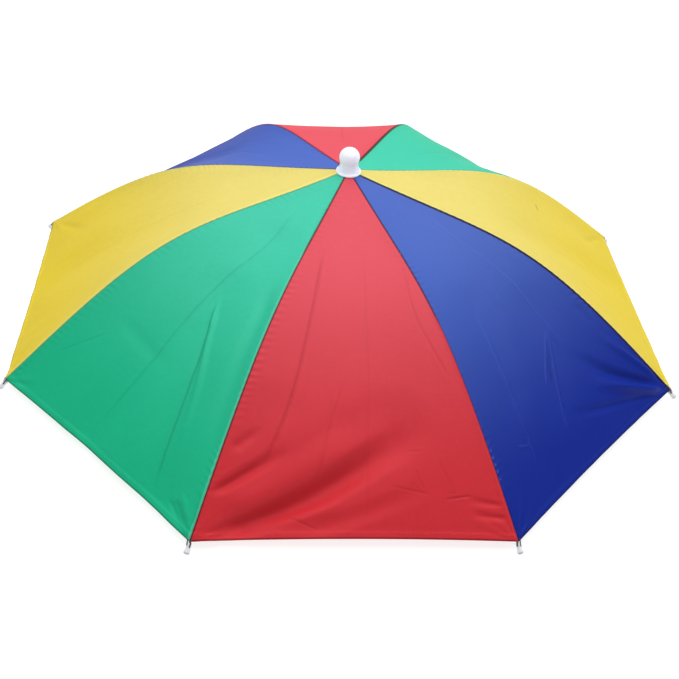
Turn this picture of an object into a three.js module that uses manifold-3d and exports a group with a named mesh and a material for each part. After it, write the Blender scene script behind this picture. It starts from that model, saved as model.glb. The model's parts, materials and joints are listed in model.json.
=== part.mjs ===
// Umbrella hat: a small eight-rib umbrella on an elastic headband, in millimetres, +Z up.
// It stands on the eight caps at the ends of its ribs. The wearer faces -Y.
import * as THREE from 'three';
import { mergeVertices } from 'three/addons/utils/BufferGeometryUtils.js';
import Module from 'manifold-3d';

const wasm = await Module();
wasm.setup();

// Canopy: the line of each seam in the upright plane of its rib
const CORNER_RADIUS = 340;
const CANOPY_RISE = 148.6;
const CROWN_SLOPE = 12.5;
const HEM_SLOPE = 39;
const CROWN_PULL = 0.463;
const HEM_PULL = 0.629;
const PEAK_HOLE_RADIUS = 9;

// Cloth
const CLOTH_WALL = 1;
const HEM_BOW = 2.2;
const CLOTH_CELL = 20;
const SEAM_GAP = 0.35;

// Ribs and their tip caps
const RIB_RADIUS = 1;
const RIB_PLAY = 0.6;
const FIRST_AZIMUTH = -112.5;
const CAP_START = 1;
const CAP_LENGTH = 8.8;
const CAP_NECK_RADIUS = 1.9;
const CAP_NECK_LENGTH = 4.5;
const CAP_END_RADIUS = 2.5;
const CAP_ROUNDING = 1.2;
const CAP_BORE_DEPTH = 6;
const CAP_FOOT = 0.3;

// Hub and finial
const HUB_RADIUS = 15;
const HUB_HEIGHT = 8;
const FINIAL_STEM_RADIUS = 6;
const FINIAL_RIM_RADIUS = 11.9;
const FINIAL_LIP = 1.5;
const FINIAL_NECK_RADIUS = 8.5;
const FINIAL_NECK_HEIGHT = 10.5;
const FINIAL_BALL_RADIUS = 9.6;

// Headband and struts
const BAND_RADIUS = 84;
const BAND_WALL = 2;
const BAND_WIDTH = 30;
const BAND_BOTTOM = 12;
const STRUT_RADIUS = 1;
const STRUT_SEAT = 118;
const SADDLE = { length: 10, width: 6, height: 4 };
const PADDLE = { wall: 1.2, width: 12, height: 22 };

// Space between two pieces that touch, and how finely round pieces are cut
const CLEARANCE = 0.3;
const FINE_SIDES = 32;
const BAND_SIDES = 48;
const CAP_SIDES = 12;
const WIRE_SIDES = 8;

// Each rib in turn, counter-clockwise from above. Swing is degrees off its even place, reach
// is a share of the corner radius, and lift is how much higher its middle bends.
const RIBS = [
  { name: 'front_left', swing: 0, reach: 1, lift: -1.5 },
  { name: 'front_right', swing: 0, reach: 0.998, lift: -1.5 },
  { name: 'right_front', swing: -0.6, reach: 1.006, lift: 0 },
  { name: 'right_back', swing: -0.9, reach: 1.012, lift: 3 },
  { name: 'back_right', swing: -0.3, reach: 1.006, lift: 6 },
  { name: 'back_left', swing: 1.2, reach: 0.999, lift: 1 },
  { name: 'left_back', swing: 1.1, reach: 0.996, lift: 0 },
  { name: 'left_front', swing: 1, reach: 0.993, lift: 3 },
];

// The gore after each rib, and how far its middle sinks in between them
const COLOURS = { red: 0xd9404f, blue: 0x3c58b0, yellow: 0xe8d060, green: 0x37bb92 };
const GORES = [
  { name: 'front', colour: COLOURS.red, sag: 8 },
  { name: 'front_right', colour: COLOURS.blue, sag: 8 },
  { name: 'right', colour: COLOURS.yellow, sag: 7 },
  { name: 'back_right', colour: COLOURS.green, sag: 4 },
  { name: 'back', colour: COLOURS.red, sag: 3 },
  { name: 'back_left', colour: COLOURS.blue, sag: 7 },
  { name: 'left', colour: COLOURS.yellow, sag: 8 },
  { name: 'front_left', colour: COLOURS.green, sag: 8 },
];

// Soft folds in the cloth. Along runs from the peak to the hem and across from one rib to
// the next, both as shares. Width and depth are shares of the seam's length.
const FOLDS = [
  { gore: 'front', along: [0.96, 0.76], across: [0.12, 0.62], width: 0.13, depth: 0.011 },
  { gore: 'front', along: [0.9, 0.7], across: [0.02, 0.12], width: 0.09, depth: 0.006 },
  { gore: 'front', along: [0.9, 0.8], across: [0.12, 0.36], width: 0.1, depth: -0.005 },
  { gore: 'front_left', along: [0.3, 0.98], across: [0.5, 0.46], width: 0.1, depth: 0.006 },
  { gore: 'front_left', along: [0.5, 0.98], across: [0.56, 0.8], width: 0.1, depth: 0.006 },
  { gore: 'front_right', along: [0.5, 0.72], across: [0.34, 0.26], width: 0.1, depth: 0.006 },
  { gore: 'front_right', along: [0.6, 0.8], across: [0.7, 0.46], width: 0.1, depth: 0.006 },
  { gore: 'back', along: [0.6, 0.95], across: [0.4, 0.3], width: 0.12, depth: 0.006 },
  { gore: 'back_left', along: [0.5, 0.95], across: [0.6, 0.7], width: 0.12, depth: 0.007 },
  { gore: 'back_right', along: [0.5, 0.95], across: [0.35, 0.45], width: 0.12, depth: 0.006 },
  { gore: 'left', along: [0.5, 0.9], across: [0.62, 0.5], width: 0.12, depth: 0.006 },
  { gore: 'right', along: [0.55, 0.9], across: [0.4, 0.55], width: 0.12, depth: 0.006 },
];

const UP = new THREE.Vector3(0, 0, 1);
const radians = THREE.MathUtils.degToRad;
const RIB_STEP = 360 / RIBS.length;
const HALF_GORE = radians(RIB_STEP / 2);
const RIB_DROP = CLOTH_WALL + RIB_PLAY + RIB_RADIUS;
const BORE_RADIUS = RIB_RADIUS + CLEARANCE;

// Height of the corners over the floor. The caps stand there on the rounded edge of their
// ends, which is cut to a flat foot.
const EDGE_ALONG = CAP_START + CAP_LENGTH - CAP_ROUNDING;
const EDGE_BELOW = RIB_DROP + CAP_END_RADIUS - CAP_ROUNDING;
const STAND_HEIGHT = EDGE_ALONG * Math.sin(radians(HEM_SLOPE))
  + EDGE_BELOW * Math.cos(radians(HEM_SLOPE)) + CAP_ROUNDING - CAP_FOOT;

const seam = makeSeam();
const SEAM_LENGTH = seam.getLength();

function makeSeam() {
  const run = CORNER_RADIUS;
  const crown = new THREE.Vector2(Math.cos(radians(CROWN_SLOPE)), -Math.sin(radians(CROWN_SLOPE)));
  const hem = new THREE.Vector2(Math.cos(radians(HEM_SLOPE)), -Math.sin(radians(HEM_SLOPE)));
  const peak = new THREE.Vector2(PEAK_HOLE_RADIUS, CANOPY_RISE);
  const corner = new THREE.Vector2(run, 0);
  return new THREE.CubicBezierCurve(
    peak,
    peak.clone().addScaledVector(crown, run * CROWN_PULL),
    corner.clone().addScaledVector(hem, -run * HEM_PULL),
    corner,
  );
}

// Point and heading of the seam at a share of its length. Past the corner it runs straight on.
function seamAt(along) {
  const share = THREE.MathUtils.clamp(along, 0, 1);
  const heading = seam.getTangentAt(share);
  const past = (along - share) * SEAM_LENGTH;
  return { point: seam.getPointAt(share).addScaledVector(heading, past), heading };
}

// The same in the plane of a rib with its own bend, sunk below the seam by a drop
function belowSeam(rib, along, drop) {
  const { point, heading } = seamAt(along);
  const radius = (point.x + heading.y * drop) * rib.reach;
  const lift = rib.lift * Math.sin(Math.PI * Math.min(along, 1)) ** 2;
  return new THREE.Vector3(radius, 0, point.y - heading.x * drop + lift);
}

function azimuthOf(index) {
  return radians(FIRST_AZIMUTH + index * RIB_STEP + RIBS[index % RIBS.length].swing);
}

// Height of the seams near the peak
function peakHeight(radius) {
  return CANOPY_RISE - (radius - PEAK_HOLE_RADIUS) * Math.tan(radians(CROWN_SLOPE));
}

function look(colour, roughness, metalness = 0) {
  return new THREE.MeshStandardMaterial({ color: colour, roughness, metalness });
}

function named(name, geometry, material) {
  const mesh = new THREE.Mesh(geometry, material);
  mesh.name = name;
  return mesh;
}

function toSolid(geometry) {
  const bare = geometry.clone();
  bare.deleteAttribute('normal');
  bare.deleteAttribute('uv');
  const merged = mergeVertices(bare, 1e-4);
  const vertProperties = Float32Array.from(merged.attributes.position.array);
  const triVerts = Uint32Array.from(merged.index.array);
  return new wasm.Manifold(new wasm.Mesh({ numProp: 3, vertProperties, triVerts }));
}

function toGeometry(solid) {
  const { vertProperties, triVerts } = solid.getMesh();
  const joined = new THREE.BufferGeometry();
  joined.setAttribute('position', new THREE.BufferAttribute(vertProperties, 3));
  joined.setIndex(new THREE.BufferAttribute(triVerts, 1));
  const geometry = joined.toNonIndexed();
  geometry.computeVertexNormals();
  return geometry;
}

// A turned piece from its profile of radius and height, listed up the outside
function turned(points, sides) {
  const profile = points.map(([radius, height]) => new THREE.Vector2(radius, height));
  return new THREE.LatheGeometry(profile, sides).rotateX(Math.PI / 2);
}

// Points of an arc in a profile, from one angle above the level to another
function arc(centreRadius, centreHeight, radius, from, to, steps) {
  return Array.from({ length: steps + 1 }, (_, step) => {
    const angle = THREE.MathUtils.lerp(from, to, step / steps);
    return [centreRadius + radius * Math.cos(angle), centreHeight + radius * Math.sin(angle)];
  });
}

function goreWidth(along) {
  return 2 * seamAt(along).point.x * Math.sin(HALF_GORE);
}

function onCloth(along, across) {
  return new THREE.Vector2((across - 0.5) * goreWidth(along), along * SEAM_LENGTH);
}

// How far the folds push the cloth in at a place on a gore
function foldDepth(gore, along, across) {
  const here = onCloth(along, across);
  let depth = 0;
  for (const fold of FOLDS.filter((row) => row.gore === gore.name)) {
    const start = onCloth(fold.along[0], fold.across[0]);
    const line = onCloth(fold.along[1], fold.across[1]).sub(start);
    const share = THREE.MathUtils.clamp(here.clone().sub(start).dot(line) / line.lengthSq(), 0, 1);
    const distance = here.distanceTo(start.addScaledVector(line, share));
    const fade = Math.min(distance / (fold.width * SEAM_LENGTH), 1);
    depth += fold.depth * SEAM_LENGTH * Math.cos(fade * Math.PI / 2) ** 2;
  }
  return depth * Math.sqrt(4 * across * (1 - across));
}

// A place on the outer face of a gore, and the upright depth of the wall under it. The cloth
// is drawn in between its ribs, and its hem bows up towards the peak.
function gorePoint(index, along, across) {
  const slack = 4 * across * (1 - across);
  const share = along * (1 - slack * HEM_BOW / SEAM_LENGTH);
  const [left, right] = [index, index + 1].map((place) => {
    const rib = RIBS[place % RIBS.length];
    return belowSeam(rib, share, 0).applyAxisAngle(UP, azimuthOf(place));
  });
  const inset = SEAM_GAP / 2 / left.distanceTo(right);
  const point = left.lerp(right, THREE.MathUtils.lerp(inset, 1 - inset, across));
  const sag = slack * GORES[index].sag * Math.sin(Math.PI * share) ** 1.5;
  const { heading } = seamAt(share);
  const inward = new THREE.Vector3(heading.y, 0, -heading.x);
  inward.applyAxisAngle(UP, azimuthOf(index) + HALF_GORE);
  point.addScaledVector(inward, sag + foldDepth(GORES[index], along, across));
  return { point, wall: CLOTH_WALL / heading.x };
}

// Triangles between two rows of points whose counts differ
function zip(upper, lower) {
  const faces = [];
  let [i, j] = [0, 0];
  while (i < upper.length - 1 || j < lower.length - 1) {
    const upperNext = (i + 1) / (upper.length - 1);
    const lowerNext = (j + 1) / (lower.length - 1);
    if (j === lower.length - 1 || (i < upper.length - 1 && upperNext <= lowerNext)) {
      faces.push([upper[i], lower[j], upper[i + 1]]);
      i += 1;
    } else {
      faces.push([upper[i], lower[j], lower[j + 1]]);
      j += 1;
    }
  }
  return faces;
}

// One wall of cloth, in rows from the peak to the hem with more cells where it is wider
function goreGeometry(index) {
  const rowCount = Math.round(SEAM_LENGTH / CLOTH_CELL);
  const outer = [];
  const inner = [];
  const rows = Array.from({ length: rowCount + 1 }, (_, row) => {
    const along = row / rowCount;
    const cells = Math.max(1, Math.round(goreWidth(along) / CLOTH_CELL));
    return Array.from({ length: cells + 1 }, (_, cell) => {
      const { point, wall } = gorePoint(index, along, cell / cells);
      outer.push(...point);
      inner.push(point.x, point.y, point.z - wall);
      return outer.length / 3 - 1;
    });
  });

  const under = outer.length / 3;
  const faces = [];
  for (let row = 0; row < rowCount; row += 1) {
    for (const [a, b, c] of zip(rows[row], rows[row + 1])) {
      faces.push(a, b, c, under + a, under + c, under + b);
    }
  }

  const edge = [
    ...rows.map((row) => row[0]),
    ...rows.at(-1).slice(1, -1),
    ...rows.map((row) => row.at(-1)).reverse(),
    ...rows[0].slice(1, -1).reverse(),
  ];
  edge.forEach((from, place) => {
    const to = edge[(place + 1) % edge.length];
    faces.push(from, under + from, under + to, from, under + to, to);
  });

  const geometry = new THREE.BufferGeometry();
  geometry.setAttribute('position', new THREE.Float32BufferAttribute([...outer, ...inner], 3));
  geometry.setIndex(faces);
  geometry.computeVertexNormals();
  return geometry;
}

// A rib, its cap and its strut are built in the plane of the rib, out along +X

class RibLine extends THREE.Curve {
  constructor(rib) {
    super();
    this.rib = rib;
    this.end = 1 + (CAP_START + CAP_BORE_DEPTH - CLEARANCE) / SEAM_LENGTH;
  }

  getPoint(share) {
    return belowSeam(this.rib, share * this.end, RIB_DROP);
  }
}

function ribGeometry(rib) {
  const section = new THREE.Shape().absarc(0, 0, RIB_RADIUS, 0, 2 * Math.PI);
  const extrudePath = new RibLine(rib);
  const steps = Math.round(SEAM_LENGTH / CLOTH_CELL);
  return new THREE.ExtrudeGeometry(section, { extrudePath, steps, curveSegments: 3 });
}

// Sets a piece on a rib: its +Z runs down the rib and its +X points away from the cloth
function onRib(geometry, rib, along, drop) {
  const { x, y, z } = belowSeam(rib, along, drop);
  const next = belowSeam(rib, along + 0.001, drop);
  return geometry.rotateY(Math.atan2(next.x - x, next.z - z)).translate(x, y, z);
}

// The cap holds the end of its rib. It flares to a rounded end, cut flat where it stands.
function capGeometry(rib) {
  const bore = [[0, CAP_BORE_DEPTH], [BORE_RADIUS, CAP_BORE_DEPTH], [BORE_RADIUS, 0]];
  const neck = [[CAP_NECK_RADIUS, 0], [CAP_NECK_RADIUS, CAP_NECK_LENGTH]];
  const end = arc(CAP_END_RADIUS - CAP_ROUNDING, CAP_LENGTH - CAP_ROUNDING, CAP_ROUNDING,
    0, Math.PI / 2, 3);
  const cap = turned([...bore, ...neck, ...end, [0, CAP_LENGTH]], CAP_SIDES);
  onRib(cap, rib, 1 + CAP_START / SEAM_LENGTH, RIB_DROP);
  const depth = 4 * CAP_LENGTH;
  const ground = new THREE.BoxGeometry(depth, depth, depth);
  ground.translate(CORNER_RADIUS * rib.reach, 0, -STAND_HEIGHT - depth / 2);
  return toGeometry(toSolid(cap).subtract(toSolid(ground)));
}

function rodGeometry(from, to, radius) {
  const line = to.clone().sub(from);
  const turn = new THREE.Quaternion().setFromUnitVectors(new THREE.Vector3(0, 1, 0),
    line.clone().normalize());
  const middle = from.clone().addScaledVector(line, 0.5);
  const rod = new THREE.CylinderGeometry(radius, radius, line.length(), WIRE_SIDES);
  return rod.applyQuaternion(turn).translate(middle.x, middle.y, middle.z);
}

// A saddle under the rib, a wire, and a paddle flat on the outside of the headband
function strutGeometry(rib) {
  const along = STRUT_SEAT / SEAM_LENGTH;
  const block = new THREE.BoxGeometry(SADDLE.height, SADDLE.width, SADDLE.length);
  const groove = new THREE.CylinderGeometry(BORE_RADIUS, BORE_RADIUS, 2 * SADDLE.length,
    WIRE_SIDES);
  groove.rotateX(Math.PI / 2);
  const saddle = toSolid(onRib(block, rib, along, RIB_DROP + SADDLE.height / 2))
    .subtract(toSolid(onRib(groove, rib, along, RIB_DROP)));

  const paddleRadius = BAND_RADIUS + BAND_WALL + CLEARANCE + PADDLE.wall / 2;
  const paddleHeight = BAND_BOTTOM + BAND_WIDTH / 2;
  const paddle = new THREE.BoxGeometry(PADDLE.wall, PADDLE.width, PADDLE.height);
  paddle.translate(paddleRadius, 0, paddleHeight);

  const foot = new THREE.Vector3(paddleRadius + STRUT_RADIUS / 2, 0, paddleHeight);
  const top = belowSeam(rib, along, RIB_DROP + SADDLE.height - STRUT_RADIUS);
  const rod = rodGeometry(foot, top, STRUT_RADIUS);
  return toGeometry(saddle.add(toSolid(paddle)).add(toSolid(rod)));
}

// A disc with a slot for each rib, close under the cloth of the peak
const HUB_TOP = peakHeight(HUB_RADIUS / Math.cos(HALF_GORE))
  - CLOTH_WALL / Math.cos(radians(CROWN_SLOPE)) - CLEARANCE;

function hubGeometry() {
  const disc = new THREE.CylinderGeometry(HUB_RADIUS, HUB_RADIUS, HUB_HEIGHT, FINE_SIDES);
  disc.rotateX(Math.PI / 2).translate(0, 0, HUB_TOP - HUB_HEIGHT / 2);
  const ribDepth = (RIB_DROP + BORE_RADIUS) / Math.cos(radians(CROWN_SLOPE));
  const slotFloor = peakHeight(HUB_RADIUS) - ribDepth;
  const inner = PEAK_HOLE_RADIUS - RIB_DROP;
  let hub = toSolid(disc);
  RIBS.forEach((rib, index) => {
    const slot = new THREE.BoxGeometry(HUB_RADIUS, 2 * BORE_RADIUS, HUB_HEIGHT);
    slot.translate(inner + HUB_RADIUS / 2, 0, slotFloor + HUB_HEIGHT / 2);
    hub = hub.subtract(toSolid(slot.rotateZ(azimuthOf(index))));
  });
  return toGeometry(hub);
}

// A flared bell with a ball on top, and a stem down through the peak hole onto the hub
function finialGeometry() {
  const seat = CANOPY_RISE + CLEARANCE;
  const rim = peakHeight(FINIAL_RIM_RADIUS) + CLEARANCE;
  const neck = rim + FINIAL_NECK_HEIGHT;
  const flare = new THREE.QuadraticBezierCurve(
    new THREE.Vector2(FINIAL_RIM_RADIUS, rim + FINIAL_LIP),
    new THREE.Vector2(FINIAL_NECK_RADIUS, rim + 2 * FINIAL_LIP),
    new THREE.Vector2(FINIAL_NECK_RADIUS, neck),
  );
  const dip = Math.acos(FINIAL_NECK_RADIUS / FINIAL_BALL_RADIUS);
  const centre = neck + FINIAL_BALL_RADIUS * Math.sin(dip);
  return turned([
    [0, HUB_TOP + CLEARANCE],
    [FINIAL_STEM_RADIUS, HUB_TOP + CLEARANCE],
    [FINIAL_STEM_RADIUS, seat],
    [PEAK_HOLE_RADIUS, seat],
    [FINIAL_RIM_RADIUS, rim],
    ...flare.getPoints(5).map(({ x, y }) => [x, y]),
    ...arc(0, centre, FINIAL_BALL_RADIUS, -dip, Math.PI / 2, 8).slice(1),
  ], FINE_SIDES);
}

function bandGeometry() {
  const [inner, outer] = [BAND_RADIUS, BAND_RADIUS + BAND_WALL];
  const top = BAND_BOTTOM + BAND_WIDTH;
  const section = [[inner, BAND_BOTTOM], [outer, BAND_BOTTOM], [outer, top], [inner, top]];
  return turned([...section, section[0]], BAND_SIDES);
}

const plastic = look(0xeef2f8, 0.35);
const steel = look(0xb9bcc0, 0.3, 1);
const elastic = look(0x1c1c1e, 0.9);

const hat = new THREE.Group();
hat.add(named('finial', finialGeometry(), plastic.clone()));
hat.add(named('hub', hubGeometry(), plastic.clone()));
hat.add(named('headband', bandGeometry(), elastic));
GORES.forEach((gore, index) => {
  hat.add(named(`gore_${gore.name}`, goreGeometry(index), look(gore.colour, 0.75)));
});
RIBS.forEach((rib, index) => {
  const arm = new THREE.Group();
  arm.rotation.z = azimuthOf(index);
  arm.add(named(`rib_${rib.name}`, ribGeometry(rib), steel.clone()));
  arm.add(named(`tip_cap_${rib.name}`, capGeometry(rib), plastic.clone()));
  arm.add(named(`strut_${rib.name}`, strutGeometry(rib), steel.clone()));
  hat.add(arm);
});

// Set on its feet, with the middle of its outline over the origin
hat.position.z = STAND_HEIGHT;
const middle = new THREE.Box3().setFromObject(hat, true).getCenter(new THREE.Vector3());
hat.position.x = -middle.x;
hat.position.y = -middle.y;

export default hat;
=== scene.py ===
import json
from collections import namedtuple
from math import acos, cos, degrees, pi, radians, sin, sqrt, tan

import bmesh
import bpy
import numpy as np
from mathutils import Matrix, Vector

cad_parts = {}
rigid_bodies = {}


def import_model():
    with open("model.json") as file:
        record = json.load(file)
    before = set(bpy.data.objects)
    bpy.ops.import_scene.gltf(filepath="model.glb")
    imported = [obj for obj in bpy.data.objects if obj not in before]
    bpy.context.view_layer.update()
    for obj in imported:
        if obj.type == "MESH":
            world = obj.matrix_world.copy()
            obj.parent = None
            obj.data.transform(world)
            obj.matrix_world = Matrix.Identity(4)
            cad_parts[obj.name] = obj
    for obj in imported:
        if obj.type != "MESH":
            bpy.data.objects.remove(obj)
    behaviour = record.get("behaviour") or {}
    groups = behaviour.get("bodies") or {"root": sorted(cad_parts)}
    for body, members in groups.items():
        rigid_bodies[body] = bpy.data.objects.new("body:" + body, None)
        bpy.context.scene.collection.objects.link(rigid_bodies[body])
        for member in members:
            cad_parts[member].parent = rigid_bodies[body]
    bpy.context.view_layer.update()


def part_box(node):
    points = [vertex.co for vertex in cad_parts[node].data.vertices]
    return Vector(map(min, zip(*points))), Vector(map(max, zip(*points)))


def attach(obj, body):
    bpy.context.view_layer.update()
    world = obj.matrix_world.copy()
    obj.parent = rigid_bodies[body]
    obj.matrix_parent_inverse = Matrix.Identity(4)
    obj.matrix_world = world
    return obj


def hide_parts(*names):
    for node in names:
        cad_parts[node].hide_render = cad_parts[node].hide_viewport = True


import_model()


def table(columns, rows):
    """Rows with their columns named."""
    row = namedtuple("row", columns)
    return [row(*values) for values in rows]


def table_by_gore(columns, groups):
    return {gore: table(columns, rows) for gore, rows in groups.items()}


# Lengths are in millimetres and angles in degrees until a mesh is made in metres. The canopy
# is drawn with its corners at height 0 and its axis upright through the hub.
MM = 0.001
CORNER_RADIUS = 340
CANOPY_RISE = 148.6
CROWN_SLOPE = 12.5
HEM_SLOPE = 39
CROWN_PULL = 0.463
HEM_PULL = 0.629
PEAK_HOLE_RADIUS = 9

CLOTH_WALL = 1
HEM_BOW = 2.2

RIB_RADIUS = 1
RIB_DROP = 2.6
FIRST_AZIMUTH = -112.5
CAP_START = 1
CAP_LENGTH = 8.8
CAP_NECK_RADIUS = 1.9
CAP_NECK_LENGTH = 4.5
CAP_END_RADIUS = 2.5
CAP_ROUNDING = 1.2
CAP_BORE_DEPTH = 6
CAP_BORE_RADIUS = 1.3
CAP_FOOT = 0.3
THREAD_OFFSETS = (-1.75, -1.35, 1.2, 1.6)
THREAD_RADIUS = 0.32
TIE_PLACES = (0.28, 0.52, 0.76)
TIE_LENGTH = 1.8

HUB_RADIUS = 15
FINIAL_STEM_RADIUS = 6
FINIAL_RIM_RADIUS = 11.9
FINIAL_LIP = 1.5
FINIAL_NECK_RADIUS = 8.5
FINIAL_NECK_HEIGHT = 10.5
FINIAL_BALL_RADIUS = 9.6
CLEARANCE = 0.3

BAND_RADIUS = 84
BAND_WALL = 2
BAND_WIDTH = 30
BAND_BOTTOM = 12
BAND_TOP = BAND_BOTTOM + BAND_WIDTH
BAND_MIDDLE = BAND_BOTTOM + BAND_WIDTH / 2
CORD_PITCH = 2.5
CORD_HEIGHT = 0.22
LAP_LENGTH = 28
LAP_SEWN_WIDTH = 20
LAP_SEWN_INSET = 4

STRUT_RADIUS = 1
STRUT_SEAT = 118
SADDLE_LENGTH = 10
SADDLE_DEPTH = 4
SADDLE_BORE = 1.3
PADDLE_WIDTH = 12
PADDLE_HEIGHT = 22
PADDLE_WALL = 1.2
PADDLE_CORNER = 2.5
PADDLE_SEWN_WIDTH = 9.2
PADDLE_SEWN_HEIGHT = 18
STEEL_EDGE = 0.25

# How the cloth is cut and sewn
CLOTH_THICKNESS = 0.35
SEAM_HALF_GAP = 0.06
SEAM_FOLD_HEIGHT = 0.4
SEAM_FOLD_WIDTH = 3.2
SEAM_FOLD_WALL = 0.3
SEAM_FOLD_DROP = 1.3
SEAM_FOLD_START = 20
SEAM_FOLD_END = 8
HEM_FOLD_WIDTH = 6
HEM_STITCH_DEPTH = 4.6
HEM_LAYER = 0.3
GROOVE_DEPTH = 0.35
GROOVE_WIDTH = 0.9
PUCKER_PITCH = 6.5
FAR_FROM_LINES = 40.0

# Pitches of what the finishes draw, in metres
WEAVE_PITCH = 0.00042
YARN_PITCH_AROUND = 0.0009
YARN_PITCH_UP = 0.0005

# Each rib, counter-clockwise from above: swing in degrees off its even place, reach as a share
# of the corner radius, and how much higher its middle bends
RIBS = table("name swing reach lift", [
    ("front_left", 0.0, 1.0, -1.5),
    ("front_right", 0.0, 0.998, -1.5),
    ("right_front", -0.6, 1.006, 0.0),
    ("right_back", -0.9, 1.012, 3.0),
    ("back_right", -0.3, 1.006, 6.0),
    ("back_left", 1.2, 0.999, 1.0),
    ("left_back", 1.1, 0.996, 0.0),
    ("left_front", 1.0, 0.993, 3.0),
])
RIB_STEP = 360 / len(RIBS)
HALF_GORE = radians(RIB_STEP / 2)
SIDEWAYS = np.array([0, 1.0, 0])

# The gore after each rib, and how far its middle sinks in. For its first and second side: how
# strongly the stitches nip the cloth, how wide the seam allowance shows and from which share of
# the seam on, both also painted lighter as painted highlight, and how dark and how wide the
# painted shade in the seam's groove is.
GORES = table("name cloth sag nips ridge ridge_from line line_width", [
    ("front", "red", 8, (0.5, 0), (0, 1.9), (0, 0.45), (0.9, 0.9), (1.0, 1.1)),
    ("front_right", "blue", 8, (0.7, 0.3), (0, 0), (0, 0), (0.6, 1.0), (0.7, 2.4)),
    ("right", "yellow", 7, (0.2, 0.2), (2.6, 1.8), (0, 0), (0.4, 0.3), (0.5, 0.8)),
    ("back_right", "green", 4, (0.3, 0.3), (0, 0), (0, 0), (0.6, 1.0), (0.8, 1.6)),
    ("back", "red", 3, (0.3, 0.3), (0, 1.6), (0, 0), (0.9, 0.6), (1.5, 0.9)),
    ("back_left", "blue", 7, (0.3, 0.3), (0, 0), (0, 0), (0.8, 0.9), (1.0, 1.2)),
    ("left", "yellow", 8, (0.2, 0.2), (1.8, 3.2), (0, 0), (0.9, 0.35), (1.2, 1.0)),
    ("front_left", "green", 8, (0.3, 0.4), (0, 2.1), (0, 0.25), (0.45, 0.8), (1.0, 0.9)),
])

# Soft folds that the solids have too, by gore. A line's places are in percent: first along, from
# the peak to the hem, and then across, from one rib to the next. Width and depth are shares of
# the seam's length.
FOLDS = table_by_gore("width depth line", {
    "front": [
        (0.13, 0.011, [(96, 12), (76, 62)]),
        (0.09, 0.006, [(90, 2), (70, 12)]),
        (0.1, -0.005, [(90, 12), (80, 36)])],
    "front_left": [
        (0.1, 0.006, [(30, 50), (98, 46)]),
        (0.1, 0.006, [(50, 56), (98, 80)])],
    "front_right": [
        (0.1, 0.006, [(50, 34), (72, 26)]),
        (0.1, 0.006, [(60, 70), (80, 46)])],
    "back": [(0.12, 0.006, [(60, 40), (95, 30)])],
    "back_left": [(0.12, 0.007, [(50, 60), (95, 70)])],
    "back_right": [(0.12, 0.006, [(50, 35), (95, 45)])],
    "left": [(0.12, 0.006, [(50, 62), (90, 50)])],
    "right": [(0.12, 0.006, [(55, 40), (90, 55)])],
})

# Soft creases, below the face where depth is more than 0. Width is half of what a crease takes
# up, in millimetres, at the start and the end of its line.
CREASES = table_by_gore("width depth line", {
    "front": [
        ((13, 21), 7.8, [(98.5, 7), (95.2, 21), (89.5, 38), (81.6, 57), (72, 84)]),
        ((12, 12), 3.4, [(100, 6), (98, 10), (96.6, 15), (95, 19)]),
        ((14, 30), -3.5, [(94, 5), (90, 18), (85.2, 30), (80.4, 44), (75.5, 60),
                          (71.2, 77)]),
        ((6, 10), 4.6, [(90, 1), (84.5, 13), (79, 26)]),
        ((6, 9), -1.8, [(98, 14), (95, 31), (91, 49)]),
        ((7, 6), 2.0, [(80, 4), (74.5, 13)]),
        ((3, 3), 1.1, [(76, 20), (85, 16.5)]),
        ((10, 12), 1.8, [(99, 31), (95, 50), (87, 80)]),
        ((3, 6), 1.5, [(92, 99), (91, 86)]),
        ((3, 6), 1.7, [(95, 99), (94, 86)])],
    "front_left": [
        ((11, 14), 2.6, [(38, 88), (63, 92), (90, 95)]),
        ((4, 6), -2.3, [(50, 53), (62, 67), (73, 76), (91, 82)]),
        ((5, 6), 1.1, [(57, 61), (73, 71)]),
        ((3, 3), 1.8, [(95, 89), (99, 98)]),
        ((3, 3), -1.6, [(93, 91), (98, 98)]),
        ((3, 3), 1.4, [(96, 87), (99, 96)]),
        ((12, 12), 0.7, [(70, 18), (74, 60)])],
    "front_right": [
        ((5, 12), -5.0, [(99, 97), (94, 87), (83, 65)]),
        ((5, 13), 3.6, [(97, 97), (86, 81), (73, 66)]),
        ((5, 9), 2.2, [(98, 91), (90, 60), (85, 42)]),
        ((3, 8), -2.2, [(96, 99), (80, 92), (73, 88)]),
        ((6, 5), 1.1, [(65, 93), (74, 92)]),
        ((12, 12), 0.6, [(52, 55), (71, 48)])],
    "back": [((9, 14), 2.2, [(95, 88), (87, 68), (80, 50)])],
    "back_right": [((8, 12), 1.8, [(96, 12), (88, 28), (82, 42)])],
    "back_left": [((5, 10), 1.5, [(97, 95), (80, 75)])],
    "right": [((5, 10), 1.2, [(96, 94), (80, 72)])],
    "left": [((5, 10), 1.2, [(96, 6), (80, 28)])],
})
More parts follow.
